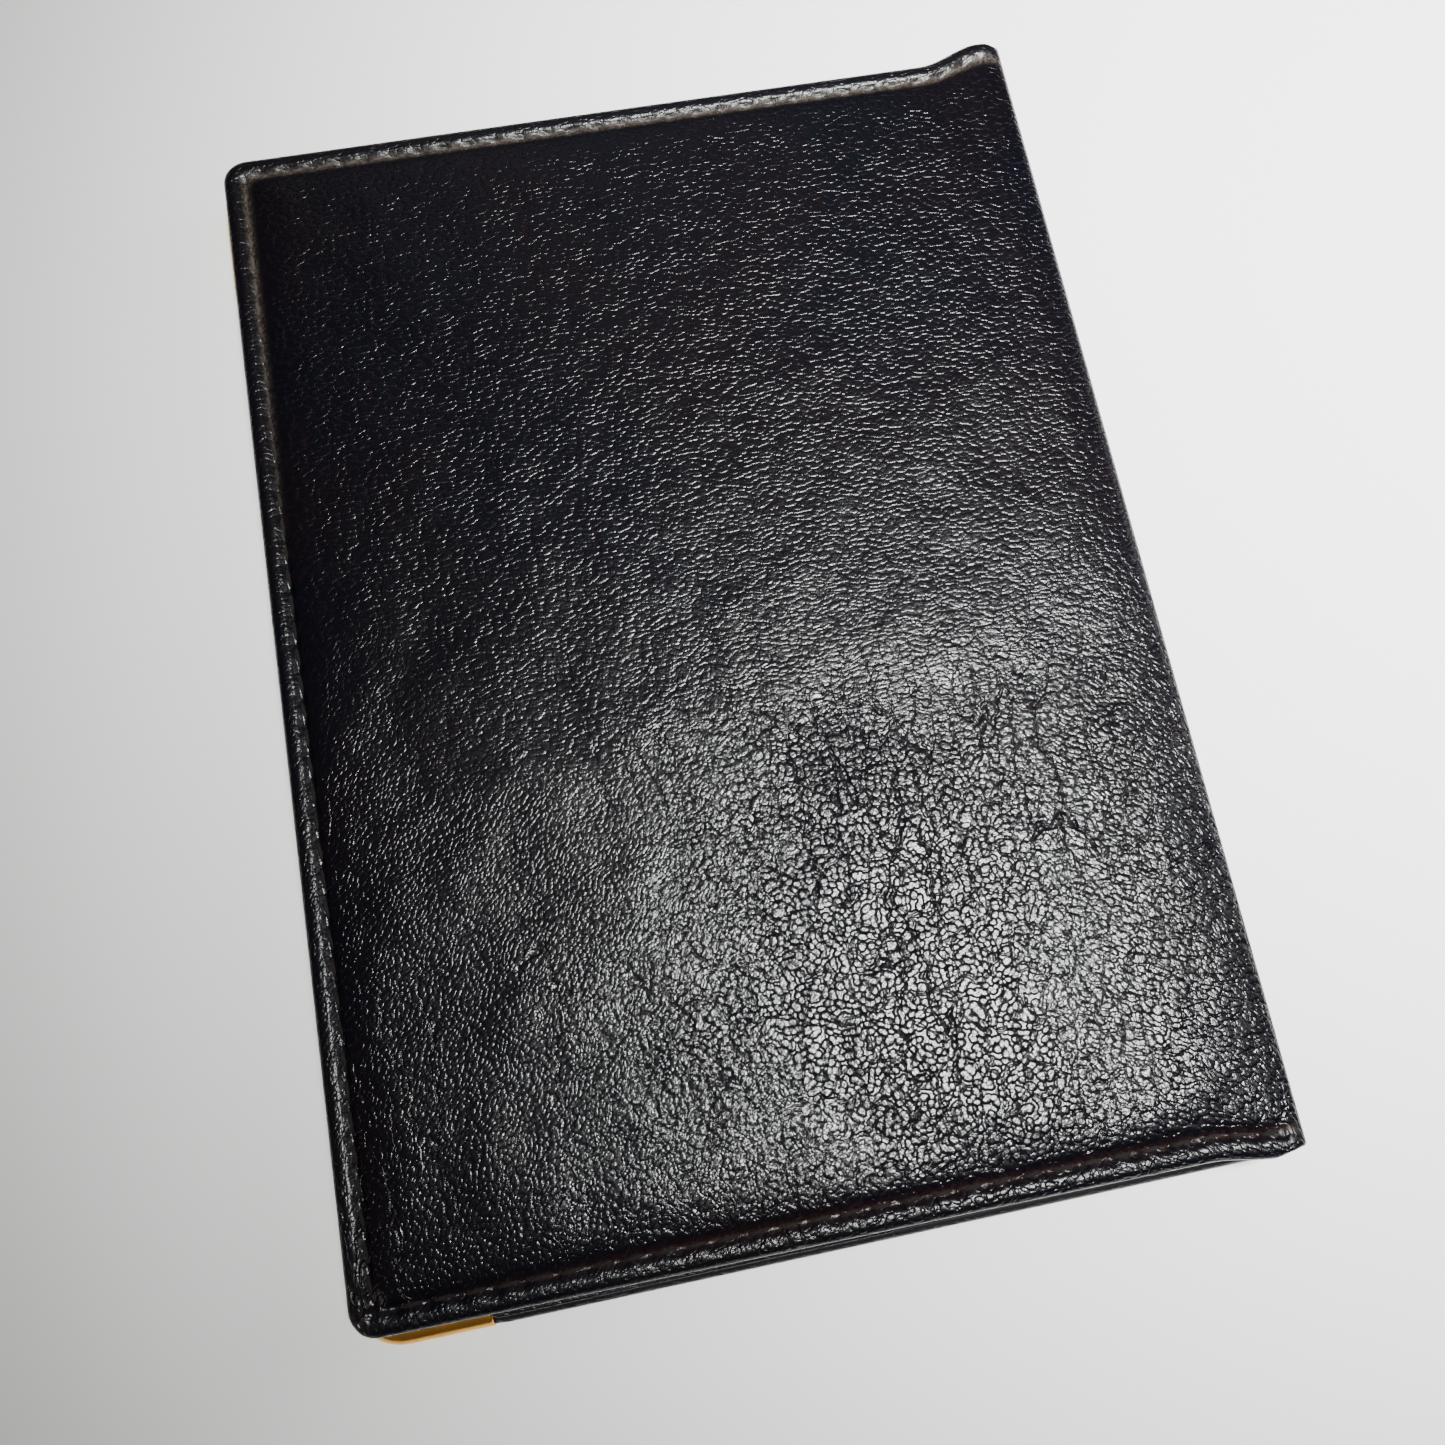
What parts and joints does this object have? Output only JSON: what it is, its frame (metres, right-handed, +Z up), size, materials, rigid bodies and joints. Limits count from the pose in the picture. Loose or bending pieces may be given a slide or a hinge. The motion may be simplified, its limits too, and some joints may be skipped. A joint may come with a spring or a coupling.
{
  "type": "business card case",
  "caption": "Bifold business card case in padded pebbled leather with a flat spine, inside card pockets, stitched hems and gold-coloured metal corners on its front cover.",
  "frame": {"origin": "on the surface that the closed case lies on, under its middle, front cover down", "axes": "+X towards the spine, +Y along the spine towards the head, +Z up from the front cover to the back cover"},
  "size_m": [0.0794, 0.111, 0.0062],
  "materials": {
    "outer_leather": "pebbled, satin, near-black aubergine",
    "pocket_leather": "fine grain, satin, near-black aubergine",
    "lining": "ribbed rayon lining, dark aubergine, slight sheen",
    "seam_thread": "twisted polyester thread, dark reddish brown",
    "gold_corner": "polished gold-coloured plate, lightly worn",
    "foam": "open-cell foam sheet",
    "board": "grey paperboard",
    "tape": "woven reinforcing tape"
  },
  "bodies": {
    "front_cover": {"front_leather": "outer_leather", "front_padding": "foam", "front_board": "board", "front_infill": "board", "front_lining": "lining", "front_gusset_head": "pocket_leather", "front_gusset_tail": "pocket_leather", "front_gusset_fore_edge": "pocket_leather", "front_pocket": "pocket_leather", "front_pocket_thread": "seam_thread", "front_seam_thread": "seam_thread", "metal_corner_head": "gold_corner", "metal_corner_tail": "gold_corner"},
    "spine": {"spine_leather": "outer_leather", "spine_tape": "tape", "spine_lining": "lining"},
    "back_cover": {"back_leather": "outer_leather", "back_padding": "foam", "back_board": "board", "back_infill": "board", "back_lining": "lining", "back_pocket": "pocket_leather", "back_pocket_thread": "seam_thread", "back_card_slot": "pocket_leather", "back_card_slot_thread": "seam_thread", "back_seam_thread": "seam_thread"}
  },
  "joints": [
    {"name": "front_fold", "type": "hinge", "parent": "front_cover", "child": "spine", "pos_m": [0.039, -0.0002, 0.00065], "axis": [0, 1, 0], "range_deg": [0, 90]},
    {"name": "back_fold", "type": "hinge", "parent": "spine", "child": "back_cover", "pos_m": [0.039, -0.0002, 0.00555], "axis": [0, 1, 0], "range_deg": [0, 90]}
  ],
  "couplings": [
    {"joint": "back_fold", "follows": "front_fold", "ratio": 1}
  ]
}
